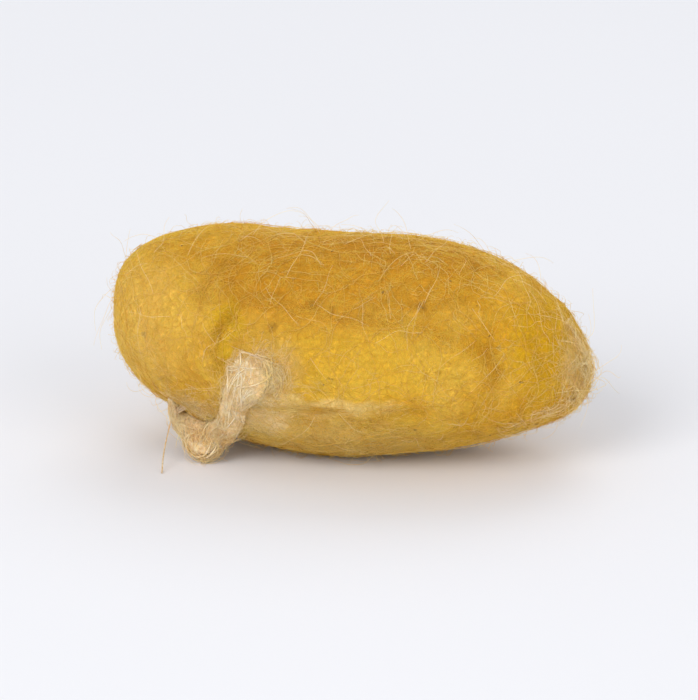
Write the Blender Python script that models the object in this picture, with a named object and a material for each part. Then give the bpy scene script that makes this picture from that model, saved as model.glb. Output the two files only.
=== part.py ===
"""Silk cocoon of the domestic silk moth, lying on its side on a small flat spot.

Metres, +Z up. The long axis is X: the blunt end is at -X and the slimmer end at +X.
The front, where the main folds are, faces -Y. The origin is the centre of the base.
"""

import math
from collections import namedtuple

import bmesh
import bpy
from mathutils import Vector, noise

MM = 0.001

# Driving dimensions
LENGTH = 35.0 * MM
WIDTH = 16.9 * MM  # front to back
HEIGHT = 16.3 * MM  # before the flat spot is pressed in
FLAT_DEPTH = 0.28 * MM  # how far the flat spot cuts into the underside

# How full each end is: 2 is an ellipse, and more is squarer
BLUNT_END = 2.50
SLIM_END = 2.06
TAPER = 0.03  # the blunt half is thicker by this share, and the slim half thinner
BLUNT_LIFT = 2.1 * MM  # how far the blunt end's middle rises towards its tip
SLIM_ARCH = 0.3 * MM  # how far the slim half arches up on the way to its tip
SLIM_DROP = 1.3 * MM  # how far the slim tip itself drops

# The shell is uneven all over: broad lumps, and smaller ones on them
LUMP_SIZE, LUMP_HEIGHT = 6.5 * MM, 0.34 * MM
CRUMPLE_SIZE, CRUMPLE_HEIGHT = 2.3 * MM, 0.09 * MM

FACES_PER_SIDE = 25  # of the cube that is rounded into the body

# A place pressed in, or pushed out where depth is negative.
# along is -1 at the blunt tip and 1 at the slim tip. around is in degrees about X:
# 0 faces the front, 90 the top, 180 the back and 270 the base.
# turn is how far the long side of the fold turns from the X axis, in degrees.
Fold = namedtuple("Fold", "along around turn length width depth")
FOLDS = (
    # the upper front is pressed flat from end to end, and sinks in the middle
    Fold(0.05, 58, -4, 11.0 * MM, 3.6 * MM, 0.46 * MM),
    # the bulge under it, whose upper edge is the main crease
    Fold(0.12, 4, -5, 7.5 * MM, 3.6 * MM, -0.20 * MM),
    # the waist that parts the blunt dome from the bulge
    Fold(-0.52, 14, 72, 4.0 * MM, 1.9 * MM, 0.36 * MM),
    # the dimple at the top of that waist
    Fold(-0.46, 24, 58, 2.0 * MM, 1.2 * MM, 0.26 * MM),
    # the shallow groove before the slim end
    Fold(0.60, 2, 80, 3.2 * MM, 1.5 * MM, 0.30 * MM),
    # the long fold under the bulge
    Fold(-0.06, -24, -3, 6.5 * MM, 1.2 * MM, 0.34 * MM),
    # where other cocoons pressed against the back and the top
    Fold(-0.28, 150, 25, 6.0 * MM, 3.2 * MM, 0.50 * MM),
    Fold(0.42, 196, -20, 5.0 * MM, 2.6 * MM, 0.42 * MM),
    Fold(0.12, 118, 8, 5.0 * MM, 1.4 * MM, 0.22 * MM),
    # the creases behind each tip
    Fold(-0.80, 140, 70, 3.0 * MM, 1.2 * MM, 0.30 * MM),
    Fold(0.80, 110, -65, 2.6 * MM, 1.1 * MM, 0.26 * MM),
)

COCOON_YELLOW = (0.62, 0.36, 0.045, 1.0)  # linear


def clear_scene():
    for obj in list(bpy.data.objects):
        bpy.data.objects.remove(obj)


def silk_material():
    material = bpy.data.materials.new("cocoon_silk")
    material.use_nodes = True
    shader = material.node_tree.nodes["Principled BSDF"]
    shader.inputs["Base Color"].default_value = COCOON_YELLOW
    shader.inputs["Roughness"].default_value = 0.7
    shader.inputs["Metallic"].default_value = 0.0
    material.diffuse_color = COCOON_YELLOW
    return material


def end_exponent(along):
    """How full the profile is here, easing from the blunt end's value to the slim end's."""
    share = (along + 1) / 2
    eased = share * share * (3 - 2 * share)
    return BLUNT_END + (SLIM_END - BLUNT_END) * eased


def tip_shift(along):
    """How far the body's middle line rises here, on its way to a lifted or a dropped tip."""
    if along < 0:
        return BLUNT_LIFT * along**2
    return SLIM_ARCH * math.sin(math.pi * along) - SLIM_DROP * along**5


def plain_body(unit):
    """The smooth body's point, and its outward direction, for a point of the unit sphere."""
    ring = math.hypot(unit.y, unit.z)
    n = end_exponent(unit.x)
    scale = (abs(unit.x) ** n + ring**n) ** (-1 / n)
    along = unit.x * scale
    girth = scale * (1 - TAPER * along)
    point = Vector((along * LENGTH, unit.y * girth * WIDTH, unit.z * girth * HEIGHT)) / 2
    point.z += tip_shift(along)
    outward = Vector((unit.x / LENGTH, unit.y / WIDTH, unit.z / HEIGHT)).normalized()
    return point, outward


def unit_at(along, around):
    angle = math.radians(around)
    ring = math.sqrt(1 - along * along)
    return Vector((along, -ring * math.cos(angle), ring * math.sin(angle)))


def placed_folds():
    """Each fold with its centre, its outward direction, and its long and short directions."""
    placed = []
    for fold in FOLDS:
        centre, outward = plain_body(unit_at(fold.along, fold.around))
        lengthwise = Vector((1, 0, 0))
        lengthwise = (lengthwise - outward * lengthwise.dot(outward)).normalized()
        upwards = outward.cross(lengthwise)
        if fold.around > 90 or fold.around < -90:
            upwards = -upwards
        turn = math.radians(fold.turn)
        long_way = lengthwise * math.cos(turn) + upwards * math.sin(turn)
        placed.append((fold, centre, outward, long_way, outward.cross(long_way)))
    return placed


def pressed_in(point, outward, folds):
    """How deep the folds press the surface in here."""
    depth = 0.0
    for fold, centre, fold_outward, long_way, short_way in folds:
        facing = max(0.0, outward.dot(fold_outward))
        if facing == 0.0:
            continue
        offset = point - centre
        reach = (offset.dot(long_way) / fold.length) ** 2 + (offset.dot(short_way) / fold.width) ** 2
        depth += fold.depth * facing * math.exp(-reach)
    return depth


def lumps(point):
    broad = noise.noise(point / LUMP_SIZE + Vector((3.1, 7.7, 1.3))) * LUMP_HEIGHT
    small = noise.noise(point / CRUMPLE_SIZE) * CRUMPLE_HEIGHT
    return broad + small


def rounded_cube():
    """A cube of even squares with each vertex moved to the unit sphere."""
    bm = bmesh.new()
    bmesh.ops.create_cube(bm, size=2.0)
    bmesh.ops.subdivide_edges(bm, edges=bm.edges[:], cuts=FACES_PER_SIDE - 1, use_grid_fill=True)
    for vert in bm.verts:
        evened = [math.tan(c * math.pi / 4) for c in vert.co]
        vert.co = Vector(evened).normalized()
    return bm


def press_flat_spot(bm):
    """Cuts the lowest part off level and closes it with one flat face."""
    lowest = min(vert.co.z for vert in bm.verts)
    level = Vector((0, 0, lowest + FLAT_DEPTH))
    everything = bm.verts[:] + bm.edges[:] + bm.faces[:]
    bmesh.ops.bisect_plane(
        bm, geom=everything, dist=1e-7, plane_co=level, plane_no=(0, 0, 1), clear_inner=True
    )
    rim = [edge for edge in bm.edges if edge.is_boundary]
    bmesh.ops.contextual_create(bm, geom=rim)


def stand_on_origin(bm):
    """Moves the body so that the centre of its base is the origin."""
    lows = [min(vert.co[i] for vert in bm.verts) for i in range(3)]
    highs = [max(vert.co[i] for vert in bm.verts) for i in range(3)]
    middle = Vector(((lows[0] + highs[0]) / 2, (lows[1] + highs[1]) / 2, lows[2]))
    bmesh.ops.translate(bm, verts=bm.verts[:], vec=-middle)


def cocoon():
    bm = rounded_cube()
    folds = placed_folds()
    for vert in bm.verts:
        point, outward = plain_body(vert.co)
        rise = lumps(point) - pressed_in(point, outward, folds)
        vert.co = point + outward * rise
    press_flat_spot(bm)
    stand_on_origin(bm)
    bmesh.ops.triangulate(bm, faces=bm.faces[:])
    bmesh.ops.recalc_face_normals(bm, faces=bm.faces[:])
    mesh = bpy.data.meshes.new("cocoon")
    bm.to_mesh(mesh)
    bm.free()
    mesh.shade_smooth()
    mesh.set_sharp_from_angle(angle=math.radians(40))
    mesh.materials.append(silk_material())
    obj = bpy.data.objects.new("cocoon", mesh)
    bpy.context.scene.collection.objects.link(obj)
    return obj


clear_scene()
cocoon()
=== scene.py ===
import math

import bmesh
import bpy
import numpy as np
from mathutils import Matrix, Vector, noise
from mathutils.bvhtree import BVHTree


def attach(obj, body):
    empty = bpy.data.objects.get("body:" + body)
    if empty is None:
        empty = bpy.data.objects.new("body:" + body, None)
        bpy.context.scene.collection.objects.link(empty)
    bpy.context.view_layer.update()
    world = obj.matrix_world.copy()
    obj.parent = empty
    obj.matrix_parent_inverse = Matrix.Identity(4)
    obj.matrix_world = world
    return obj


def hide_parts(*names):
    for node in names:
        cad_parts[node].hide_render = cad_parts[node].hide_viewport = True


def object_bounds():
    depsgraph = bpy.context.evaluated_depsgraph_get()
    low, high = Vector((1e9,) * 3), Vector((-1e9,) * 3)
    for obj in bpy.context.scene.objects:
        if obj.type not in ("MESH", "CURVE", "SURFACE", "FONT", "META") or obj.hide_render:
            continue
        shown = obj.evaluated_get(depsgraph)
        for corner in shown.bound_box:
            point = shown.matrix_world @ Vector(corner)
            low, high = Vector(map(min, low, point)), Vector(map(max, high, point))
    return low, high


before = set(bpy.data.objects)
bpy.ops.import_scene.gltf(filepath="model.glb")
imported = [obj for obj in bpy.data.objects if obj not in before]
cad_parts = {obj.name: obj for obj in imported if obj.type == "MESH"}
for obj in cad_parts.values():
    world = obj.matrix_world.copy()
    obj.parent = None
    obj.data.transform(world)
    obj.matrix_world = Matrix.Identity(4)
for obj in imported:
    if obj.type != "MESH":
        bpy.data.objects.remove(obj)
cadLow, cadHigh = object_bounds()

mm = 0.001
body = "root"
middle = (cadLow + cadHigh) / 2
halfLength = (cadHigh.x - cadLow.x) / 2
floorGap = 0.03 * mm  # no fibre's middle goes lower than this
smoothStep = {"interpolation_type": "SMOOTHSTEP"}
ofColours = {"data_type": "RGBA"}

print("frame loaded, sides in mm:", [round(side / mm, 2) for side in cadHigh - cadLow])


# sRGB hex to the linear colour that a shader takes
def hexColour(code):
    channels = [int(code[i:i + 2], 16) / 255 for i in (1, 3, 5)]
    linear = [c / 12.92 if c <= 0.04045 else ((c + 0.055) / 1.055) ** 2.4 for c in channels]
    return (*linear, 1.0)


# Each input is a value, or the output socket of another node to link from.
def setInputs(tree, node, inputs):
    for name, value in inputs.items():
        if isinstance(value, bpy.types.NodeSocket):
            tree.links.new(value, node.inputs[name])
        else:
            node.inputs[name].default_value = value


# Adds one node with its settings and its links, and gives back the output asked for, by name or
# number. In a Map Range, 0 is the value, 1 and 2 what it goes from, and 3 and 4 what it goes to.
# In a Mix, 0 is the share, and 6 and 7 are the colours.
def addNode(tree, kind, settings=None, inputs=None, output=0):
    node = tree.nodes.new(kind)
    for name, value in (settings or {}).items():
        setattr(node, name, value)
    setInputs(tree, node, inputs or {})
    return node.outputs[output]


# a new material, its nodes, its shader, and the place on the object in millimetres
def newMaterial(name):
    material = bpy.data.materials.new(name)
    material.use_nodes = True
    tree = material.node_tree
    place = addNode(tree, "ShaderNodeTexCoord", output="Object")
    place = addNode(tree, "ShaderNodeVectorMath", {"operation": "SCALE"}, {0: place, "Scale": 1 / mm})
    return material, tree, tree.nodes["Principled BSDF"], place


def newObject(name, mesh, material):
    piece = bpy.data.objects.new(name, mesh)
    bpy.context.scene.collection.objects.link(piece)
    mesh.materials.clear()
    mesh.materials.append(material)
    mesh.shade_smooth()
    return piece


def addPiece(name, mesh, material):
    piece = newObject(name, mesh, material)
    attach(piece, body)
    print(name, "made,", sum(len(p.vertices) - 2 for p in mesh.polygons), "triangles")
    return piece


def normalised(vectors):
    return vectors / np.maximum(np.linalg.norm(vectors, axis=-1, keepdims=True), 1e-12)


# Each fold is a line on the surface. A place on it is (along, around): along goes from -1 at the
# blunt tip to 1 at the slim tip, and around is in degrees, 0 in front, 90 on top, 180 behind.
# depth sinks the line itself. rise lifts the side above the line and sinks the side below it, and
# at an upright line it lifts the blunt end's side.
shellShape = {
    "voxel": 0.16 * mm,
    "smoothing": 14,
    "folds": [
        # the long crease between the flat upper front and the bulge
        {"path": [(-0.60, 41), (-0.21, 35), (0.25, 30), (0.52, 19), (0.66, 6)],
         "width": 1.1 * mm, "depth": 0.16 * mm, "rise": -0.10 * mm},
        # the edge of the blunt dome
        {"path": [(-0.46, 70), (-0.56, 52), (-0.60, 38)],
         "width": 0.9 * mm, "depth": 0.14 * mm, "rise": 0.06 * mm},
        # the curved dimple below that edge
        {"path": [(-0.46, 32), (-0.51, 23), (-0.53, 12), (-0.52, 2)],
         "width": 0.75 * mm, "depth": 0.30 * mm, "rise": 0.16 * mm},
        # the fold under the bulge
        {"path": [(-0.34, -14), (-0.05, -14), (0.20, -11), (0.40, -14)],
         "width": 0.7 * mm, "depth": 0.04 * mm, "rise": 0.10 * mm},
        # the two grooves before the slim end
        {"path": [(0.60, 24), (0.67, 2), (0.64, -18)],
         "width": 0.8 * mm, "depth": 0.14 * mm, "rise": 0.0},
        {"path": [(0.80, 34), (0.84, 8)],
         "width": 0.6 * mm, "depth": 0.09 * mm, "rise": 0.0},
        # the same kind of folds on the top, the back and the underside
        {"path": [(-0.30, 96), (0.05, 104), (0.36, 98)],
         "width": 0.9 * mm, "depth": 0.15 * mm, "rise": 0.06 * mm},
        {"path": [(-0.66, 150), (-0.30, 158), (0.06, 150)],
         "width": 1.0 * mm, "depth": 0.18 * mm, "rise": -0.10 * mm},
        {"path": [(0.14, 186), (0.46, 178), (0.70, 168)],
         "width": 0.8 * mm, "depth": 0.18 * mm, "rise": 0.08 * mm},
        {"path": [(-0.70, 204), (-0.46, 196), (-0.30, 206)],
         "width": 0.6 * mm, "depth": 0.20 * mm, "rise": 0.0},
        {"path": [(0.30, -42), (0.58, -48)],
         "width": 0.7 * mm, "depth": 0.12 * mm, "rise": 0.0},
    ],
    "foldStep": 1.6,  # moves each side of a fold by up to 0.7 times its rise
    "foldWander": 0.5 * mm,
    "wanderSize": 2.5 * mm,
    "wanderSeed": 1795158815,  # without one, noise_vector follows the clock
    # dashes pressed into the surface, several times longer than wide and lying lengthwise
    "wrinkleSize": 0.8 * mm,
    "wrinkleStretch": 2.6,
    "wrinkleDepth": 0.05 * mm,
    "wrinkleLine": 0.16,  # how far from its middle value the noise still makes a dash
    "wrinklePatches": 2.1 * mm,
    # the shallow dents and pimples of felted silk
    "feltSizes": (1.9 * mm, 0.8 * mm, 0.4 * mm),
    "feltHeights": (0.075 * mm, 0.03 * mm, 0.014 * mm),
    # the resting spot stays level, and the detail fades in above it, from one height on
    "fadeFrom": 0.05 * mm,
    "fadeOver": 0.6 * mm,
    "fullShadeDepth": 0.2 * mm,  # how deep a place is that counts as 1 in the hollowShade attribute, for the painted shade
}


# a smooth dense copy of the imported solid
def smoothBody():
    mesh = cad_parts["cocoon"].data.copy()
    bm = bmesh.new()
    bm.from_mesh(mesh)
    bmesh.ops.remove_doubles(bm, verts=bm.verts[:], dist=1e-7)
    bm.to_mesh(mesh)
    bm.free()
    draft = bpy.data.objects.new("draft", mesh)
    bpy.context.scene.collection.objects.link(draft)
    rounded = draft.modifiers.new("rounded", "SUBSURF")
    rounded.levels = rounded.render_levels = 1
    even = draft.modifiers.new("even", "REMESH")
    even.mode = "VOXEL"
    even.voxel_size = shellShape["voxel"]
    soft = draft.modifiers.new("soft", "SMOOTH")
    soft.factor = 0.5
    soft.iterations = shellShape["smoothing"]
    evaluated = draft.evaluated_get(bpy.context.evaluated_depsgraph_get())
    smooth = bpy.data.meshes.new_from_object(evaluated)
    bpy.data.objects.remove(draft)
    smooth.name = "silkShell"
    return smooth


def meshTree(mesh):
    corners = [v.co for v in mesh.vertices]
    return BVHTree.FromPolygons(corners, [p.vertices for p in mesh.polygons])


# the surface point and its outward direction at (along, around)
def placeOn(tree, along, around):
    angle = math.radians(around)
    outward = Vector((0, -math.cos(angle), math.sin(angle)))
    start = Vector((middle.x + along * halfLength, middle.y, middle.z))
    point, normal, _, _ = tree.ray_cast(start + outward * 40 * mm, -outward)  # from well outside
    return point, normal


# how far each point sinks at one fold
def foldSink(points, tree, fold):
    marks = [placeOn(tree, *place) for place in fold["path"]]
    nearest = np.full(len(points), 1e9)
    side = np.zeros(len(points))
    for (start, startOut), (end, _) in zip(marks, marks[1:]):
        run = np.array(end - start)
        share = np.clip((points - np.array(start)) @ run / (run @ run), 0, 1)
        offset = points - np.array(start) - share[:, None] * run
        distance = np.linalg.norm(offset, axis=1)
        above = np.cross(run, np.array(startOut))
        above *= 1 if above[2] > above[0] else -1
        closer = distance < nearest
        nearest[closer] = distance[closer]
        side[closer] = (offset @ normalised(above))[closer] / fold["width"]
    fall = np.exp(-(nearest / fold["width"]) ** 2)
    return fold["depth"] * fall - fold["rise"] * shellShape["foldStep"] * side * fall


def shellMesh():
    mesh = smoothBody()
    tree = meshTree(mesh)
    count = len(mesh.vertices)
    points = np.empty(count * 3)
    mesh.vertices.foreach_get("co", points)
    points = points.reshape(-1, 3)
    normals = np.array([v.normal for v in mesh.vertices])

    shape = shellShape
    noise.seed_set(shape["wanderSeed"])
    wander = np.array([noise.noise_vector(v.co / shape["wanderSize"]) for v in mesh.vertices])
    wandered = points + wander * shape["foldWander"]
    folded = sum(foldSink(wandered, tree, fold) for fold in shape["folds"])

    stretch = Vector((1 / shape["wrinkleStretch"], 1, 1)) / shape["wrinkleSize"]
    wrinkles = np.empty(count)
    felt = np.empty(count)
    # each layer takes its own part of the noise
    for i, vert in enumerate(mesh.vertices):
        spot = vert.co * stretch
        line = max(0.0, 1 - abs(noise.noise(spot + Vector((9, 2, 5)))) / shape["wrinkleLine"])
        patch = noise.noise(vert.co / shape["wrinklePatches"])
        broken = min(max(patch * 2.4 + 0.35, 0.0), 1.0)  # 0 between patches and 1 on them
        wrinkles[i] = line * line * broken
        felt[i] = sum(
            height * noise.noise(vert.co / size + Vector((size * 9000, 0, 0)))
            for size, height in zip(shape["feltSizes"], shape["feltHeights"])
        )
    sunk = folded + wrinkles * shape["wrinkleDepth"] - felt
    fade = np.clip((points[:, 2] - shape["fadeFrom"]) / shape["fadeOver"], 0, 1)
    points = points - normals * (sunk * fade)[:, None]
    points[:, 2] = np.maximum(points[:, 2], 0)
    mesh.vertices.foreach_set("co", points.ravel())

    # how sunk each place is, for the shade painted into the colour of its hollows
    hollowShade = mesh.attributes.new("hollowShade", "FLOAT", "POINT")
    hollowShade.data.foreach_set("value", (sunk / shape["fullShadeDepth"]).astype(np.float32))
    mesh.update()
    return mesh


# Closed tubes along many paths at once, paths being (fibre, point, xyz). On the UV map each
# fibre is a strip of its own.
def fibreMesh(name, paths, radius, corners=3):
    count, length, _ = paths.shape
    tangents = normalised(np.gradient(paths, axis=1))
    rough = np.where(np.abs(tangents[:, 0, 2:3]) < 0.9, [[0, 0, 1.0]], [[1.0, 0, 0]])
    side = normalised(np.cross(tangents[:, 0], rough))
    sides = np.empty_like(paths)
    for k in range(length):
        along = (side * tangents[:, k]).sum(1, keepdims=True)
        side = normalised(side - along * tangents[:, k])
        sides[:, k] = side
    ups = np.cross(tangents, sides)

    thickness = np.broadcast_to(radius, (count, length))[..., None]
    rings = []
    turns = np.arange(corners) * math.tau / corners
    for turn in turns:
        rings.append(paths + thickness * (math.cos(turn) * sides + math.sin(turn) * ups))
    points = np.stack(rings, axis=2).reshape(-1, 3)
    points[:, 2] = np.maximum(points[:, 2], floorGap * 0.5)

    first = (np.arange(count)[:, None] * length + np.arange(length - 1)[None, :]) * corners
    walls = []
    for corner in range(corners):
        near = first + corner
        far = first + (corner + 1) % corners
        walls.append(np.stack([near, far, far + corners, near + corners], -1).reshape(-1, 4))
    walls = np.concatenate(walls)
    starts = np.arange(count)[:, None] * length * corners + np.arange(corners)
    ends = starts + (length - 1) * corners
    mesh = bpy.data.meshes.new(name)
    faces = walls.tolist() + starts[:, ::-1].tolist() + ends.tolist()
    mesh.from_pydata(points.tolist(), [], faces)

    rows = min(count, 200)  # strips above each other on the map, with a gap round each
    columns = math.ceil(count / rows)
    left = (np.arange(count) // rows) / columns
    low = (np.arange(count) % rows) / rows
    reach = np.linspace(0.02, 0.98, length) / columns
    begins = left[:, None] + reach[None, :-1]
    stops = left[:, None] + reach[None, 1:]
    under = np.broadcast_to(low[:, None] + 0.12 / rows, begins.shape)
    over = np.broadcast_to(low[:, None] + 0.88 / rows, begins.shape)
    wallMap = np.stack([
        np.stack([begins, under], -1), np.stack([begins, over], -1),
        np.stack([stops, over], -1), np.stack([stops, under], -1),
    ], axis=2)
    wallMap = np.concatenate([wallMap.reshape(-1, 2)] * corners)
    capMap = []
    for end in (0, -1):
        u = begins[:, end, None] + (stops - begins)[:, end, None] * (0.5 + 0.5 * np.cos(turns))
        v = under[:, end, None] + (over - under)[:, end, None] * (0.5 + 0.5 * np.sin(turns))
        capMap.append(np.stack([u, v], -1).reshape(-1, 2))
    strips = mesh.uv_layers.new(name="OFBake")
    strips.data.foreach_set("uv", np.concatenate([wallMap, *capMap]).astype(np.float32).ravel())
    return mesh


# the shell's nearest points and their outward directions
def nearestOn(tree, points):
    found = [tree.find_nearest(Vector(p))[:2] for p in points]
    return np.array([f[0] for f in found]), np.array([f[1] for f in found])


# Points spread over the shell, with their outward directions. cover says where they gather, as
# (place, size, weight) spots added to an even spread.
def spreadOver(mesh, tree, count, rng, cover=(), even=1.0):
    centres = np.array([p.center for p in mesh.polygons])
    weights = np.array([p.area for p in mesh.polygons])
    thicker = np.full(len(weights), even)
    for place, size, weight in cover:
        away = np.linalg.norm(centres - np.array(placeOn(tree, *place)[0]), axis=1)
        thicker += weight * np.exp(-(away / size) ** 2)
    weights = weights * np.maximum(thicker, 0.03 * even)  # nowhere is quite bare
    chosen = rng.choice(len(weights), size=count, p=weights / weights.sum())
    outward = np.array([mesh.polygons[i].normal for i in chosen])
    return centres[chosen], outward


# A silkworm swings its head in figures of eight as it spins, and drifts slowly along. A heading
# that swings like a sine by about 130 degrees draws just that.
woundThread = {
    "seeds": {"woundThreadUnder": 11, "woundThreadOver": 12},
    "threads": 252,
    "points": 118,
    "step": 0.5 * mm,
    "swing": math.radians(128),
    "swingVaries": (0.85, 1.06),
    "loop": 15.5 * mm,  # thread spun in one figure of eight
    "paceVaries": (0.75, 1.35),
    "lift": (0.0, 0.03 * mm),  # how far off the shell it runs
    "liftPace": 0.21,  # how fast it rises and falls, in radians a step
    "radius": 0.018 * mm,  # real silk is about two thirds as thick, too fine to show
    "even": 1.0,
    "cover": [],
}

# the first silk a worm lays, a loose web that stays on the finished shell in patches
looseFloss = {
    "seed": 23,
    "threads": 350,
    "points": 42,
    "step": 0.36 * mm,
    "kink": 0.27,
    "lift": (0.02 * mm, 0.2 * mm),
    "liftPace": 0.21,
    "radius": 0.014 * mm,
    "even": 1.0,
    "cover": [
        ((-0.86, 10), 5 * mm, 3.0),  # the blunt dome
        ((-0.35, -50), 6 * mm, 5.0),  # the underside
        ((0.35, -60), 6 * mm, 3.0),
        ((0.97, -20), 3 * mm, 7.0),  # the slim tip
        ((0.25, 95), 5 * mm, 2.0),
        ((-0.20, 170), 7 * mm, 2.0),
        ((0.15, 5), 6 * mm, -0.9),  # the bare bulge
        ((0.0, 48), 6 * mm, -0.75),
    ],
}

# the thin cream web where the tuft's edges and the floss on the slim tip fade into the shell,
# and one more patch of it on the back
creamWeb = {
    "seed": 71,
    "threads": 760,
    "points": 13,
    "step": 0.2 * mm,
    "kink": 0.4,
    "lift": (0.0, 0.1 * mm),
    "liftPace": 0.21,
    "radius": 0.010 * mm,
    "even": 0.0,
    "cover": [
        ((-0.27, 4), 1.0 * mm, 0.9),
        ((-0.26, -5), 1.1 * mm, 0.9),
        ((-0.38, -20), 1.2 * mm, 0.6),
        ((-0.31, -20), 1.2 * mm, 0.8),
        ((0.28, 197), 2.2 * mm, 0.4),
        ((-0.57, -38), 1.3 * mm, 1.2),
        ((-0.66, -37), 1.0 * mm, 1.2),
        ((0.97, -5), 1.9 * mm, 0.5),
    ],
}


# Paths of threads that walk over the shell a step at a time. heading is one of the two functions
# after this one.
def walkOverShell(shell, tree, settings, seed, heading):
    rng = np.random.default_rng(seed)
    count, length = settings["threads"], settings["points"]
    here, outward = spreadOver(shell, tree, count, rng, settings["cover"], settings["even"])
    guide = normalised(rng.normal(size=(count, 3)))
    turns = heading(rng, settings)
    lowLift, highLift = settings["lift"]
    phase = rng.uniform(0, math.tau, (count, 1))
    wave = np.sin(np.arange(length)[None, :] * settings["liftPace"] + phase) * 0.5 + 0.5
    most = rng.uniform(0.3, 1, (count, 1))  # each thread rises to its own height
    lift = lowLift + (highLift - lowLift) * wave * most
    path = np.empty((count, length, 3))
    for k in range(length):
        path[:, k] = here + outward * lift[:, k:k + 1]
        ahead = normalised(guide - (guide * outward).sum(1, keepdims=True) * outward)
        across = np.cross(outward, ahead)
        angle = turns[:, k:k + 1]
        move = np.cos(angle) * ahead + np.sin(angle) * across
        here, outward = nearestOn(tree, here + move * settings["step"])
    path[..., 2] = np.maximum(path[..., 2], floorGap)
    return path


def figureOfEight(rng, settings):
    count = settings["threads"]
    swing = settings["swing"] * rng.uniform(*settings["swingVaries"], (count, 1))
    turnsPerStep = math.tau * settings["step"] / settings["loop"]
    pace = turnsPerStep * rng.uniform(*settings["paceVaries"], (count, 1))
    start = rng.uniform(0, math.tau, (count, 1))
    drift = rng.uniform(0, math.tau, (count, 1))
    return drift + swing * np.sin(start + pace * np.arange(settings["points"])[None, :])


def wandering(rng, settings):
    kinks = rng.normal(size=(settings["threads"], settings["points"])) * settings["kink"]
    return rng.uniform(0, math.tau, (settings["threads"], 1)) + np.cumsum(kinks, axis=1)


# True for each path whose middle is outside the shell
def outsideShell(tree, paths):
    middles = paths[:, paths.shape[1] // 2]
    near, outward = nearestOn(tree, middles)
    return ((middles - near) * outward).sum(1) > 0


# ends of floss that stand off the shell
strayHairs = {
    "seed": 37,
    "bend": 0.6,  # how much they differ in how far they turn to one side
    "curl": 0.6,  # how far that takes the tip, as a share of a hair's length
    "arc": 2.2,  # how far over they curve, in radians
    "waveHeight": 0.06,  # as a share of a hair's length, times its bend
    "waves": 9,  # radians of wave along a hair
    "tip": 0.45,  # its radius, as a share of the root's
    "cover": [
        ((0.98, -20), 3 * mm, 3.0),
        ((-0.95, 10), 4 * mm, 1.0),
        ((-0.55, -40), 4 * mm, 1.5),
        ((0.30, 90), 8 * mm, 0.8),
        ((0.15, 5), 6 * mm, -0.7),
    ],
    "kinds": {
        "shortHairs": {
            "count": 3800, "points": 5, "length": (0.3 * mm, 0.95 * mm),
            "rise": (0.15, 0.7), "radius": 0.013 * mm,
        },
        "longHairs": {
            "count": 200, "points": 18, "length": (1.4 * mm, 4.2 * mm),
            "rise": (0.1, 0.5), "radius": 0.016 * mm,
        },
    },
}


def standingHairs(shell, tree, rng, settings):
    shape = strayHairs
    count, length = settings["count"], settings["points"]
    roots, outward = spreadOver(shell, tree, count, rng, shape["cover"])
    sideways = rng.normal(size=(count, 3))
    sideways = normalised(sideways - (sideways * outward).sum(1, keepdims=True) * outward)
    bend = np.cross(outward, sideways) * rng.normal(0, shape["bend"], (count, 1))
    reach = rng.uniform(*settings["length"], (count, 1))
    up = rng.uniform(*settings["rise"], (count, 1))
    phase = roots[:, :1] / mm * 3  # so that neighbours wave apart
    path = np.empty((count, length, 3))
    for k in range(length):
        s = k / (length - 1)
        arc = math.sin(s * shape["arc"])
        wave = shape["waveHeight"] * reach * np.sin(s * shape["waves"] + phase)
        path[:, k] = (
            roots
            + sideways * reach * s
            + outward * (reach * up * arc)
            + bend * reach * s * s * shape["curl"]
            + bend * wave
        )
    path[..., 2] = np.maximum(path[..., 2], floorGap)
    taper = np.linspace(1, shape["tip"], length)[None, :]
    return path, settings["radius"] * taper


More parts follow.
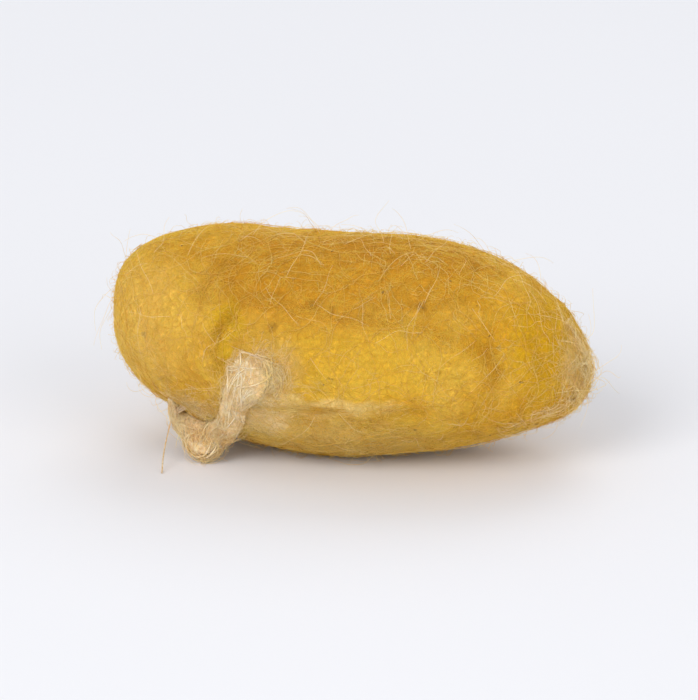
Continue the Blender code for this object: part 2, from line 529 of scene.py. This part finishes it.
# Floss that has pulled together into a lock lies along marks. A mark is ("on", along, around, mm
# above the shell), or ("at", x, y, z) in mm from the centre of the base. widths are halves of the
# lock's width and thickness in mm, one pair for each mark. core is its matted middle, wisps are
# the strands it has felted into, and fibres lie over those. depth is where they run between the
# lock's middle line, 0, and its surface, 1. spread is how far they stray from the lock's own way,
# in radians, and the loosest stand off by loose.
locks = {
    "flossTuft": {
        "marks": [("on", -0.33, 11, 0.0), ("on", -0.345, 2, 0.06), ("on", -0.385, -7, 0.12),
                  ("on", -0.42, -17, 0.16), ("on", -0.435, -27, 0.2), ("on", -0.46, -37, 0.3),
                  ("at", -8.9, -5.3, 2.4), ("at", -9.7, -5.1, 1.3), ("at", -10.1, -4.9, 0.2)],
        "widths": [(1.5, 0.06), (2.0, 0.12), (1.55, 0.18), (1.1, 0.22), (1.0, 0.28), (1.0, 0.36),
                   (1.2, 0.6), (1.0, 0.65), (0.45, 0.4)],
        "core": {"share": 0.86, "rings": 120, "corners": 32, "lumpSize": 0.8 * mm, "lumps": 0.34},
        "wisps": {
            "seed": 41, "count": 130, "points": 18, "step": 0.3 * mm, "radius": (0.03 * mm, 0.08 * mm),
            "depth": (0.76, 0.98), "spread": 0.3, "kink": 0.14, "loose": 0.2,
        },
        "fibres": {
            "seed": 42, "count": 660, "points": 20, "step": 0.24 * mm, "radius": (0.010 * mm, 0.014 * mm),
            "depth": (0.84, 1.06), "spread": 0.5, "kink": 0.25, "loose": 1.0,
        },
    },
    # the arm of the tuft that runs back up to the blunt end
    "tuftArm": {
        "marks": [("on", -0.72, -36, 0.0), ("at", -12.3, -3.9, 3.1), ("at", -11.3, -4.2, 2.4),
                  ("at", -10.0, -4.7, 1.65), ("at", -8.8, -5.0, 1.95)],
        "widths": [(0.25, 0.1), (0.6, 0.7), (0.85, 1.1), (1.2, 1.6), (0.8, 0.9)],
        "core": {"share": 0.86, "rings": 70, "corners": 28, "lumpSize": 0.7 * mm, "lumps": 0.28},
        "wisps": {
            "seed": 44, "count": 120, "points": 14, "step": 0.3 * mm, "radius": (0.03 * mm, 0.07 * mm),
            "depth": (0.76, 0.98), "spread": 0.4, "kink": 0.16, "loose": 0.2,
        },
        "fibres": {
            "seed": 45, "count": 420, "points": 18, "step": 0.22 * mm, "radius": (0.010 * mm, 0.014 * mm),
            "depth": (0.84, 1.08), "spread": 0.6, "kink": 0.28, "loose": 1.2,
        },
    },
    # its thin short side, most of it a web
    "tuftSide": {
        "marks": [("on", -0.32, 12, 0.03), ("on", -0.25, 8, 0.05), ("on", -0.225, 0, 0.05),
                  ("on", -0.25, -10, 0.03)],
        "widths": [(0.8, 0.06), (0.9, 0.08), (0.8, 0.08), (0.4, 0.04)],
        "wisps": {
            "seed": 48, "count": 26, "points": 12, "step": 0.24 * mm, "radius": (0.02 * mm, 0.05 * mm),
            "depth": (0.2, 1.0), "spread": 0.5, "kink": 0.2, "loose": 0.2,
        },
        "fibres": {
            "seed": 49, "count": 110, "points": 16, "step": 0.2 * mm, "radius": (0.010 * mm, 0.014 * mm),
            "depth": (0.2, 1.2), "spread": 0.7, "kink": 0.3, "loose": 1.0,
        },
    },
    # the curly fluff round the slim tip and the lower edge before it
    "tipFluff": {
        "marks": [("on", 0.90, 75, 0.05), ("on", 0.965, 40, 0.1), ("on", 0.985, -20, 0.15),
                  ("on", 0.93, -40, 0.1), ("on", 0.80, -38, 0.05), ("on", 0.66, -45, 0.03)],
        "widths": [(0.5, 0.15), (0.8, 0.3), (0.9, 0.35), (0.7, 0.25), (0.5, 0.15), (0.3, 0.1)],
        "fibres": {
            "seed": 50, "count": 270, "points": 16, "step": 0.2 * mm, "radius": (0.010 * mm, 0.014 * mm),
            "depth": (0.1, 1.6), "spread": 1.2, "kink": 0.45, "loose": 3.0,
        },
    },
    # one thread of the tuft that hangs down to the ground
    "hangingThread": {
        "marks": [("on", -0.66, -38, 0.05), ("at", -12.6, -4.2, 3.0), ("at", -12.8, -5.2, 2.0),
                  ("at", -12.85, -6.5, 0.9), ("at", -12.7, -7.8, 0.06)],
        "widths": [(0.3, 0.1), (0.1, 0.1), (0.06, 0.06), (0.05, 0.05), (0.05, 0.05)],
        "wisps": {
            "seed": 47, "count": 20, "points": 24, "step": 0.28 * mm, "radius": (0.022 * mm, 0.034 * mm),
            "depth": (0.1, 0.9), "spread": 0.03, "kink": 0.03, "loose": 0.6,
        },
    },
}

# what all locks share
lockShape = {
    "bluntEnds": 6,  # the more, the blunter the ends of the matted middle
    "lumpStretch": 2.6,  # how many times longer than wide its lumps are
    "smallLumps": (2.6, 0.5),  # how many times smaller than those, and how high beside them
    "looseFew": 5,  # the more, the fewer strands stand off
    "slowEnds": 0.05,  # the share of the lock at each end where strands slow down
    "leastGirth": 0.3 * mm,
    "taper": 1.6,  # the more, the shorter the taper at each end of a strand
    "thinnest": 0.25,  # the radius at its ends, as a share of its own
}

# the light line of floss along the fold under the bulge
foldFloss = {
    "marks": [("on", -0.36, -19, 0.06), ("on", -0.20, -17, 0.08), ("on", -0.02, -15, 0.08),
              ("on", 0.22, -13, 0.04)],
    "widths": [(0.7, 0.06), (0.5, 0.08), (0.35, 0.06), (0.25, 0.05)],
    "fibres": {
        "seed": 43, "count": 56, "points": 22, "step": 0.34 * mm, "radius": (0.012 * mm, 0.016 * mm),
        "depth": (0.1, 1.0), "spread": 0.1, "kink": 0.08, "loose": 0.6,
    },
}


# a smooth curve through the marks, at shares of its length from 0 to 1
def curveThrough(marks, shares):
    marks = np.array(marks)
    padded = np.concatenate([[2 * marks[0] - marks[1]], marks, [2 * marks[-1] - marks[-2]]])
    reach = shares * (len(marks) - 1)
    first = np.clip(np.floor(reach).astype(int), 0, len(marks) - 2)
    t = (reach - first)[..., None]
    a, b, c, d = (padded[first + i] for i in range(4))
    square, cube = 2 * a - 5 * b + 4 * c - d, 3 * b - a - 3 * c + d
    return 0.5 * (2 * b + (c - a) * t + square * t**2 + cube * t**3)


# the lock's middle line, its length, and its directions ahead, across and outward at given shares
def lockLine(tree, lock):
    places, outs = [], []
    for kind, first, second, third in lock["marks"]:
        if kind == "on":
            place, outward = placeOn(tree, first, second)
            place = place + outward * third * mm
        else:
            place = Vector((middle.x, middle.y, cadLow.z)) + Vector((first, second, third)) * mm
            outward = tree.find_nearest(place)[1]
        places.append(place)
        outs.append(outward)

    def at(shares):
        ahead = normalised(curveThrough(places, shares + 0.01) - curveThrough(places, shares - 0.01))
        across = normalised(np.cross(ahead, curveThrough(outs, shares)))
        width = np.maximum(curveThrough(lock["widths"], shares), 0.03) * mm
        return curveThrough(places, shares), across, np.cross(across, ahead), width

    return at, sum((b - a).length for a, b in zip(places, places[1:]))


# the matted middle of a lock, a closed tube with lumps that lie along it
def lockCore(tree, name, lock):
    core = lock["core"]
    at, run = lockLine(tree, lock)
    shares = np.linspace(0, 1, core["rings"])
    spine, across, outward, width = at(shares)
    ends = np.clip(1 - np.abs(2 * shares - 1) ** lockShape["bluntEnds"], 0.01, 1)[:, None] ** 0.6
    width = width * core["share"] * ends
    finer, height = lockShape["smallLumps"]
    bm = bmesh.new()
    rings = []
    for k in range(core["rings"]):
        ring = []
        for corner in range(core["corners"]):
            turn = corner * math.tau / core["corners"]
            flat, thick = math.cos(turn) * width[k, 0], math.sin(turn) * width[k, 1]
            along = shares[k] * run / lockShape["lumpStretch"]
            where = Vector((along, flat, thick)) / core["lumpSize"]
            lump = noise.noise(where) + height * noise.noise(where * finer)
            away = across[k] * flat + outward[k] * thick
            point = spine[k] + away * (1 + core["lumps"] * lump)
            point[2] = max(point[2], floorGap)
            ring.append(bm.verts.new(point))
        rings.append(ring)
    for ring, after in zip(rings, rings[1:]):
        for i in range(core["corners"]):
            j = (i + 1) % core["corners"]
            bm.faces.new((ring[i], ring[j], after[j], after[i]))
    bm.faces.new(rings[0][::-1])
    bm.faces.new(rings[-1])
    bmesh.ops.recalc_face_normals(bm, faces=bm.faces[:])
    bmesh.ops.triangulate(bm, faces=[face for face in bm.faces if len(face.verts) > 4])
    mesh = bpy.data.meshes.new(name)
    bm.to_mesh(mesh)
    bm.free()
    return mesh


# Paths that run along a lock and round its middle line, with their radii. One that comes to the
# lock's end goes on round it.
def lockPaths(tree, lock, kind):
    strands = lock[kind]
    rng = np.random.default_rng(strands["seed"])
    at, run = lockLine(tree, lock)
    count, length = strands["count"], strands["points"]
    shares = np.linspace(0, 1, 60)
    girths = np.cumsum(np.hypot(*at(shares)[3].T))
    share = np.interp(rng.uniform(0, girths[-1], count), girths, shares)
    angle = rng.uniform(0, math.tau, count)
    heading = rng.normal(0, strands["spread"], count) + math.pi * rng.integers(0, 2, count)
    depth = rng.uniform(*strands["depth"], count)
    loose = strands["loose"] * rng.uniform(0, 1, count) ** lockShape["looseFew"]
    path = np.empty((count, length, 3))
    for k in range(length):
        spine, across, outward, width = at(share)
        reach = depth + loose * (k / (length - 1)) ** 2
        flat = (np.cos(angle) * reach * width[:, 0])[:, None]
        thick = (np.sin(angle) * reach * width[:, 1])[:, None]
        path[:, k] = spine + across * flat + outward * thick
        heading += rng.normal(size=count) * strands["kink"]
        ahead = np.cos(heading) * strands["step"] / run
        room = np.where(ahead > 0, 1.01 - share, share + 0.01) / lockShape["slowEnds"]
        share = share + ahead * np.clip(room, 0, 1)
        girth = np.hypot(np.sin(angle) * width[:, 0], np.cos(angle) * width[:, 1])
        girth = np.maximum(girth, lockShape["leastGirth"])
        angle = angle + np.sin(heading) * strands["step"] / girth
    path[..., 2] = np.maximum(path[..., 2], floorGap)
    radii = rng.uniform(*strands["radius"], (count, 1))
    taper = lockShape["taper"] * np.sin(np.linspace(0, math.pi, length))
    taper = np.clip(taper, lockShape["thinnest"], 1)
    kept = outsideShell(tree, path)
    return path[kept], (radii * taper)[kept]


# crumbs of dry leaf caught in the silk
leafBits = {
    "seed": 61,
    "placed": [(-0.26, 26), (0.34, 43), (-0.11, 39), (-0.07, 77), (0.62, 31), (-0.67, -44), (0.44, 62)],
    "scattered": 18,
    "radius": (0.07 * mm, 0.13 * mm),
    # its length, width and thickness, as shares of its radius
    "length": (0.7, 1.6),
    "width": (0.5, 0.9),
    "thickness": 0.4,
    "lumps": 0.35,
    "lumpSize": 0.08 * mm,
}


def leafBitsMesh(shell, tree):
    bits = leafBits
    rng = np.random.default_rng(bits["seed"])
    spots = [placeOn(tree, *place) for place in bits["placed"]]
    centres, outward = spreadOver(shell, tree, bits["scattered"], rng)
    spots += [(Vector(c), Vector(o)) for c, o in zip(centres, outward)]
    bm = bmesh.new()
    for point, normal in spots:
        size = rng.uniform(*bits["radius"])
        made = bmesh.ops.create_icosphere(bm, subdivisions=2, radius=size)["verts"]
        flat = Vector((rng.uniform(*bits["length"]), rng.uniform(*bits["width"]), bits["thickness"]))
        turn = normal.to_track_quat("Z", "Y").to_matrix()
        spin = rng.uniform(0, math.tau)
        for vert in made:
            rough = 1 + bits["lumps"] * noise.noise(vert.co / bits["lumpSize"] + point / mm)
            local = vert.co * flat * rough
            across = local.x * math.cos(spin) - local.y * math.sin(spin)
            along = local.x * math.sin(spin) + local.y * math.cos(spin)
            vert.co = point + turn @ Vector((across, along, local.z))
            vert.co.z = max(vert.co.z, floorGap)
    mesh = bpy.data.meshes.new("leafBits")
    bm.to_mesh(mesh)
    bm.free()
    return mesh


silkIor = 1.54

# Raw silk, one thread wound to and fro and glued with its own gum. It gives the eye a matte felt,
# deep yellow where it is bare and paler where it was wound last, with shade painted browner into its
# hollows.
rawSilkLook = {
    "deep": "#D59D1E",
    "pale": "#E1B341",
    "changeSize": 4.5,  # mm, as is each size in a material
    "noise": {"Detail": 4.0, "Roughness": 0.58},
    "between": (0.35, 0.65),  # the values of the noise where the colour is deep and where pale
    # painted shade: the brown of the hollows, and how much of it the deepest take
    "hollowShade": "#AA7010",
    "hollowShadeShare": 0.45,
    "threadLoops": (1.05, 1.35, 1.7, 2.2, 2.9),
    "threadTone": 0.2,  # how much lighter the drawn thread is
    "roughness": (0.8, 0.6),  # between the drawn threads and on them
    "grainSize": 0.3,  # some three threads wide, as one thread is too fine to show
    "grainHeight": 0.5,  # beside the drawn thread
    "bump": {"Strength": 0.6, "Distance": 0.03 * mm},
    "shader": {
        "IOR": silkIor, "Specular IOR Level": 0.15,
        "Sheen Weight": 0.02, "Sheen Roughness": 0.45, "Sheen Tint": hexColour("#F2DC9C"),
        "Subsurface Weight": 0.15, "Subsurface Radius": (1.0, 0.55, 0.18),
        "Subsurface Scale": 0.6 * mm,
    },
    "raggedBy": 3.0,  # how far the edges of the spots stray
    "raggedSize": 2.2,
    # Changes of colour over the shell, painted shade and light among them, one after the other: the
    # colour, its (along, around), its size lengthwise, front to back and up, and its share.
    "spots": [
        # darker orange brown over the upper front, its top and its left: partly a browner silk, partly
        # painted shade
        ("#C4881A", (-0.12, 57), (17, 7, 6), 0.92),
        ("#BA7D18", (0.30, 84), (13, 4, 2.6), 0.7),
        ("#BC8218", (-0.34, 66), (5.5, 5, 3.5), 0.6),
        # a lighter band along the long crease, which takes back some of the painted shade there
        ("#D8A638", (0.02, 33), (9, 3, 1.5), 0.4),
        ("#E4B655", (-0.84, 22), (5.5, 8, 7), 0.75),
        ("#CF9C06", (0.86, 36), (4, 6, 6), 0.9),
        ("#CEA95E", (-0.12, -42), (12, 6, 4.2), 0.8),
        # a lighter yellow over the bulge, painted light where it faces the lamps
        ("#E1B234", (0.16, 8), (8.0, 4, 3.6), 0.75),
        # painted light and shade at the edge of the blunt dome: its lip lighter, the dimple below it a
        # greener yellow, and darker beside the dimple
        ("#E0B444", (-0.62, 38), (2.8, 3.5, 5.0), 0.65),
        ("#D2A616", (-0.465, 21), (1.6, 3, 3.8), 0.85),
        ("#C4922A", (-0.36, 19), (2.8, 2, 2.2), 0.6),
        # painted shade in the groove before the slim end
        ("#AE7614", (0.63, 10), (1.4, 3, 2.4), 0.3),
        # a pale line along the fold under the bulge, partly floss and partly a painted highlight on the
        # fold's upper side
        ("#EECC80", (-0.10, -15), (8, 3, 1.2), 0.8),
        ("#DDB974", (-0.33, -2), (2.6, 2, 2.6), 0.75),
        ("#E2BC70", (-0.23, 3), (2.5, 2, 3.4), 0.5),
        ("#EED09A", (-0.31, -21), (2.6, 3, 3.0), 0.85),
        ("#D8B070", (-0.62, -34), (3.2, 3, 1.7), 0.65),
        ("#DDBE80", (0.98, -6), (2.6, 4.5, 4.5), 0.6),
        ("#D9B25A", (0.35, 150), (10, 5, 6), 0.6),
        ("#C4881C", (-0.38, 188), (8, 5, 5), 0.7),
        ("#E4B655", (-0.86, 165), (5, 7, 7), 0.7),
        ("#CF9C06", (0.84, 172), (4.5, 6, 6), 0.8),
        ("#D2AC5E", (0.02, 228), (12, 6, 4.2), 0.75),
    ],
}

# small faint stains
stains = {
    "colour": "#966620",
    "share": 0.5,
    "size": 0.55,
    "at": [(-0.26, 26), (0.34, 43), (-0.11, 39), (0.10, 130), (-0.50, 168)],
}

# Thread between the modelled threads, drawn 0.05 mm wide, twice as wide as it is, to show. The
# threadLoops of a material give the size of the loops in each layer of it.
drawnThread = {
    "width": 0.05,
    "slope": 0.4,  # how fast the noise rises across a line
    "noise": {"Detail": 1.0, "Roughness": 0.3},
    "darkest": 0.84,  # the tone of the darkest grain between
}


# a colour that changes between deep and pale in soft patches, and the noise that it follows
def patchyColour(tree, place, look):
    change = {"Vector": place, "Scale": 1 / look["changeSize"], **look["noise"]}
    change = addNode(tree, "ShaderNodeTexNoise", None, change)
    low, high = look["between"]
    share = addNode(tree, "ShaderNodeMapRange", smoothStep, {0: change, 1: low, 2: high})
    colour = {0: share, 6: hexColour(look["deep"]), 7: hexColour(look["pale"])}
    return addNode(tree, "ShaderNodeMix", ofColours, colour, 2), change


# the shell's colour at each place, with the painted shade and light of its spots, which the thread wound
# on it shares
def silkColourAndPaintedLight(tree, place):
    look = rawSilkLook
    colour, _ = patchyColour(tree, place, look)
    wander = {"Vector": place, "Scale": 1 / look["raggedSize"], "Detail": 2.0}
    wander = addNode(tree, "ShaderNodeTexNoise", None, wander, "Color")
    by = look["raggedBy"]
    wander = addNode(
        tree, "ShaderNodeVectorMath", {"operation": "MULTIPLY_ADD"},
        {0: wander, 1: (by, by, by), 2: (-by / 2, -by / 2, -by / 2)},
    )
    ragged = addNode(tree, "ShaderNodeVectorMath", {"operation": "ADD"}, {0: place, 1: wander})
    colour = withSpots(tree, ragged, colour, look["spots"])
    size, share = (stains["size"],) * 3, stains["share"]
    stained = [(stains["colour"], at, size, share) for at in stains["at"]]
    return withSpots(tree, place, colour, stained)


# The colour changed at each spot, one spot after the other. A spot has its full share over the
# inner 0.45 of its size, and fades out to its edge.
def withSpots(tree, place, colour, spots):
    for tint, at, size, share in spots:
        centre = placeOn(shellTree, *at)[0] / mm
        local = {"Vector": place, "Location": centre, "Scale": size}
        local = addNode(tree, "ShaderNodeMapping", {"vector_type": "TEXTURE"}, local)
        near = addNode(tree, "ShaderNodeTexGradient", {"gradient_type": "SPHERICAL"}, {0: local}, "Fac")
        near = {0: near, 1: 0.0, 2: 0.55, 4: share}
        near = addNode(tree, "ShaderNodeMapRange", smoothStep, near)
        colour = {0: near, 6: colour, 7: hexColour(tint)}
        colour = addNode(tree, "ShaderNodeMix", ofColours, colour, 2)
    return colour


# 1 on the drawn thread and 0 between, where a soft noise passes its middle value
def threadLines(tree, place, loops):
    drawn = 0.0
    for turn, loop in enumerate(loops):
        # each layer takes its own part of the noise
        layer = {0: place, 1: (31 * turn, 0, 0)}
        layer = addNode(tree, "ShaderNodeVectorMath", {"operation": "ADD"}, layer)
        layer = {"Vector": layer, "Scale": 1 / loop, **drawnThread["noise"]}
        layer = addNode(tree, "ShaderNodeTexNoise", None, layer)
        layer = addNode(tree, "ShaderNodeMath", {"operation": "SUBTRACT"}, {0: layer, 1: 0.5})
        layer = addNode(tree, "ShaderNodeMath", {"operation": "ABSOLUTE"}, {0: layer})
        edge = drawnThread["slope"] * drawnThread["width"] / loop
        layer = {0: layer, 1: 0.0, 2: edge, 3: 1.0, 4: 0.0}
        layer = addNode(tree, "ShaderNodeMapRange", smoothStep, layer)
        drawn = addNode(tree, "ShaderNodeMath", {"operation": "MAXIMUM"}, {0: drawn, 1: layer})
    return drawn


# the colour with drawn thread and grain in it, their relief, and the lines of the thread
def drawThread(tree, place, colour, look):
    lines = threadLines(tree, place, look["threadLoops"])
    grain = {"Vector": place, "Scale": 1 / look["grainSize"], "Detail": 3.0}
    grain = addNode(tree, "ShaderNodeTexNoise", None, grain)
    tone = {0: grain, 1: 0.3, 2: 0.7, 3: drawnThread["darkest"], 4: 1.0}
    tone = addNode(tree, "ShaderNodeMapRange", smoothStep, tone)
    tone = {0: lines, 1: look["threadTone"], 2: tone}
    tone = addNode(tree, "ShaderNodeMath", {"operation": "MULTIPLY_ADD"}, tone)
    colour = addNode(tree, "ShaderNodeVectorMath", {"operation": "SCALE"}, {0: colour, "Scale": tone})
    height = {0: grain, 1: look["grainHeight"], 2: lines}
    height = addNode(tree, "ShaderNodeMath", {"operation": "MULTIPLY_ADD"}, height)
    return colour, addNode(tree, "ShaderNodeBump", None, {"Height": height, **look["bump"]}), lines


def rawSilk():
    material, tree, shader, place = newMaterial("gummedRawSilk")
    look = rawSilkLook
    # painted shade, browner the deeper the surface sinks
    hollowShade = addNode(tree, "ShaderNodeAttribute", {"attribute_name": "hollowShade"}, output="Fac")
    hollowShade = {0: hollowShade, 1: 0.1, 2: 1.4, 4: look["hollowShadeShare"]}
    hollowShade = addNode(tree, "ShaderNodeMapRange", smoothStep, hollowShade)
    colour = {0: hollowShade, 6: silkColourAndPaintedLight(tree, place), 7: hexColour(look["hollowShade"])}
    colour = addNode(tree, "ShaderNodeMix", ofColours, colour, 2)
    colour, bump, lines = drawThread(tree, place, colour, look)
    dull, smooth = look["roughness"]
    rough = addNode(tree, "ShaderNodeMapRange", None, {0: lines, 3: dull, 4: smooth})
    setInputs(tree, shader, {"Base Color": colour, "Roughness": rough, "Normal": bump, **look["shader"]})
    return material


# The same thread where it is modelled, a clear smooth filament in its coat of gum. It is a little
# paler than the felt under it, lets some light through and shines faintly along its length.
gummedThreadLook = {
    "pale": "#EFBE44",
    "share": (0.15, 0.65),  # how much of that there is, at least and at most
    "changeSize": 1.2,
    "roughness": (0.65, 0.5),  # where it is deep and where pale
    "shader": {
        "IOR": silkIor, "Specular IOR Level": 0.15, "Subsurface Weight": 0.5,
        "Subsurface Radius": (1.0, 0.8, 0.4), "Subsurface Scale": 0.05 * mm,
    },
}


def gummedThread():
    material, tree, shader, place = newMaterial("gummedSilkThread")
    look = gummedThreadLook
    change = {"Vector": place, "Scale": 1 / look["changeSize"], "Detail": 2.0}
    change = addNode(tree, "ShaderNodeTexNoise", None, change)
    low, high = look["share"]
    share = addNode(tree, "ShaderNodeMapRange", smoothStep, {0: change, 1: 0.3, 2: 0.7, 3: low, 4: high})
    colour = {0: share, 6: silkColourAndPaintedLight(tree, place), 7: hexColour(look["pale"])}
    colour = addNode(tree, "ShaderNodeMix", ofColours, colour, 2)
    dull, smooth = look["roughness"]
    rough = addNode(tree, "ShaderNodeMapRange", None, {0: change, 1: 0.3, 2: 0.7, 3: dull, 4: smooth})
    setInputs(tree, shader, {"Base Color": colour, "Roughness": rough, **look["shader"]})
    return material


# Floss is the same filament with less gum and less dye in it, so it is pale and a little glossy,
# and light goes through it. Its tone changes from one stretch to the next.
flossLook = {
    "kinds": {
        "looseSilkFloss": {"deep": "#E2AE46", "pale": "#F2CF7C", "changeSize": 2.0},
        "creamSilkFloss": {"deep": "#F8CB86", "pale": "#FFE2AA", "changeSize": 1.3},
    },
    "noise": {"Detail": 3.0},
    "between": (0.32, 0.68),
    "roughness": (0.6, 0.45),
    "shader": {
        "IOR": silkIor, "Specular IOR Level": 0.05, "Subsurface Weight": 0.6,
        "Subsurface Radius": (1.0, 0.9, 0.7), "Subsurface Scale": 0.025 * mm,
    },
}


def silkFloss(name):
    material, tree, shader, place = newMaterial(name)
    look = {**flossLook, **flossLook["kinds"][name]}
    colour, change = patchyColour(tree, place, look)
    dull, smooth = look["roughness"]
    rough = addNode(tree, "ShaderNodeMapRange", None, {0: change, 1: 0.3, 2: 0.7, 3: dull, 4: smooth})
    setInputs(tree, shader, {"Base Color": colour, "Roughness": rough, **look["shader"]})
    return material


# Floss felted into a lock looks like cotton wool, soft and matte, with its own thread drawn on it.
mattedLook = {
    "deep": "#ECC28C",
    "pale": "#FCE2B6",
    "changeSize": 1.1,
    "noise": {"Detail": 4.0, "Roughness": 0.6},
    "between": (0.34, 0.66),
    "threadLoops": (0.5, 0.65, 0.85, 1.1),
    "threadTone": 0.18,
    "grainSize": 0.25,
    "grainHeight": 0.6,
    "bump": {"Strength": 0.7, "Distance": 0.04 * mm},
    "shader": {
        "Roughness": 0.85, "IOR": silkIor, "Specular IOR Level": 0.1,
        "Sheen Weight": 0.1, "Sheen Roughness": 0.5, "Sheen Tint": hexColour("#FFF0D0"),
        "Subsurface Weight": 0.35, "Subsurface Radius": (1.0, 0.8, 0.5),
        "Subsurface Scale": 0.3 * mm,
    },
    # yellower where it is thin enough to see the shell through
    "spots": [("#E4BD70", (-0.22, -1), (2.0, 3, 4), 0.8)],
}


def mattedFloss():
    material, tree, shader, place = newMaterial("mattedSilkFloss")
    look = mattedLook
    colour = withSpots(tree, place, patchyColour(tree, place, look)[0], look["spots"])
    colour, bump, _ = drawThread(tree, place, colour, look)
    setInputs(tree, shader, {"Base Color": colour, "Normal": bump, **look["shader"]})
    return material


# Crumbs of dried mulberry leaf, dull and olive brown.
leafLook = {
    "deep": "#7A5822",
    "pale": "#A98336",
    "changeSize": 0.1,
    "noise": {"Detail": 2.0},
    "between": (0.3, 0.7),
    "shader": {"Roughness": 0.85, "IOR": 1.45},
}


def dryLeaf():
    material, tree, shader, place = newMaterial("driedLeaf")
    colour, _ = patchyColour(tree, place, leafLook)
    setInputs(tree, shader, {"Base Color": colour, **leafLook["shader"]})
    return material


# Matte paper, plain and near white.
paperLook = {
    "deep": "#E6E6E9",
    "pale": "#EBEBEE",
    "changeSize": 100,
    "shader": {"Roughness": 0.9, "Specular IOR Level": 0.1},
}


def mattePaper():
    material, tree, shader, place = newMaterial("mattePaper")
    cloud = {"Vector": place, "Scale": 1 / paperLook["changeSize"]}
    cloud = addNode(tree, "ShaderNodeTexNoise", None, cloud)
    colour = {0: cloud, 6: hexColour(paperLook["deep"]), 7: hexColour(paperLook["pale"])}
    colour = addNode(tree, "ShaderNodeMix", ofColours, colour, 2)
    setInputs(tree, shader, {"Base Color": colour, **paperLook["shader"]})
    return material


# threads that walk over the shell, as one piece
def addThreads(name, settings, seed, heading, material):
    paths = walkOverShell(shellSurface, shellTree, settings, seed, heading)
    addPiece(name, fibreMesh(name, paths, settings["radius"]), material)


# one kind of a lock's strands, as one piece
def addStrands(name, lock, kind, material, corners=3):
    paths, radii = lockPaths(shellTree, lock, kind)
    addPiece(name, fibreMesh(name, paths, radii, corners), material)


shellSurface = shellMesh()
shellTree = meshTree(shellSurface)
silkShell = addPiece("silkShell", shellSurface, rawSilk())
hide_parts("cocoon")

thread = gummedThread()
for pieceName, seed in woundThread["seeds"].items():
    addThreads(pieceName, woundThread, seed, figureOfEight, thread)

floss = silkFloss("looseSilkFloss")
creamFloss = silkFloss("creamSilkFloss")
addThreads("looseFloss", looseFloss, looseFloss["seed"], wandering, floss)

hairRng = np.random.default_rng(strayHairs["seed"])
hairFloss = {"shortHairs": floss, "longHairs": creamFloss}
for pieceName, hairs in strayHairs["kinds"].items():
    paths, radii = standingHairs(shellSurface, shellTree, hairRng, hairs)
    addPiece(pieceName, fibreMesh(pieceName, paths, radii), hairFloss[pieceName])

addStrands("foldFloss", foldFloss, "fibres", floss)
addThreads("creamWeb", creamWeb, creamWeb["seed"], wandering, creamFloss)

matted = mattedFloss()
for pieceName, lock in locks.items():
    if "core" in lock:
        addPiece(pieceName + "Core", lockCore(shellTree, pieceName + "Core", lock), matted)
    if "wisps" in lock:
        addStrands(pieceName + "Wisps", lock, "wisps", matted, corners=6)
    if "fibres" in lock:
        addStrands(pieceName, lock, "fibres", creamFloss)

addPiece("leafBits", leafBitsMesh(shellSurface, shellTree), dryLeaf())


studio = {
    "floorSize": 3.0,
    "skyColour": "#F2F4F8",
    "skyStrength": 0.68,
    # where each soft box hangs, in metres from the cocoon's middle, with its size and its watts
    "lights": [
        {"name": "keyLight", "place": (-0.24, -0.46, 0.38), "size": 0.36, "watts": 1.95},
        {"name": "fillLight", "place": (0.42, -0.34, 0.28), "size": 0.40, "watts": 0.85},
        {"name": "backLight", "place": (0.05, 0.45, 0.50), "size": 0.45, "watts": 1.05},
    ],
}

cameraView = {
    "azimuth": 10,  # degrees round from the front, towards the slim end
    "elevation": 21,
    "distance": 0.5,
    "frameWidth": 51 * mm,  # what the frame spans at the cocoon
    "raise": -0.6 * mm,
    "shiftRight": -0.3 * mm,
}


def addFloor():
    half = studio["floorSize"] / 2
    corners = [(-half, -half, 0), (half, -half, 0), (half, half, 0), (-half, half, 0)]
    mesh = bpy.data.meshes.new("floor")
    mesh.from_pydata(corners, [], [(0, 1, 2, 3)])
    floor = newObject("floor", mesh, mattePaper())


def addLights():
    for box in studio["lights"]:
        lamp = bpy.data.lights.new(box["name"], "AREA")
        lamp.shape = "SQUARE"
        lamp.size = box["size"]
        lamp.energy = box["watts"]
        light = bpy.data.objects.new(box["name"], lamp)
        bpy.context.scene.collection.objects.link(light)
        light.location = middle + Vector(box["place"])
        light.rotation_euler = (-Vector(box["place"])).to_track_quat("-Z", "Y").to_euler()
    world = bpy.data.worlds.new("paleRoom")
    bpy.context.scene.world = world
    world.use_nodes = True
    sky = world.node_tree.nodes["Background"]
    sky.inputs["Color"].default_value = hexColour(studio["skyColour"])
    sky.inputs["Strength"].default_value = studio["skyStrength"]
    bpy.context.scene.view_settings.view_transform = "Standard"


def addCamera():
    lens = bpy.data.cameras.new("camera")
    camera = bpy.data.objects.new("camera", lens)
    bpy.context.scene.collection.objects.link(camera)
    around = math.radians(cameraView["azimuth"])
    up = math.radians(cameraView["elevation"])
    back = Vector((math.sin(around) * math.cos(up), -math.cos(around) * math.cos(up), math.sin(up)))
    right = Vector((math.cos(around), math.sin(around), 0))
    aim = middle + right * cameraView["shiftRight"] + Vector((0, 0, cameraView["raise"]))
    camera.location = aim + back * cameraView["distance"]
    camera.rotation_euler = (-back).to_track_quat("-Z", "Y").to_euler()
    lens.lens = lens.sensor_width * cameraView["distance"] / cameraView["frameWidth"]
    lens.clip_start = 0.01
    lens.clip_end = 10
    bpy.context.scene.camera = camera


addFloor()
addLights()
addCamera()
print("floor, lights and camera placed")
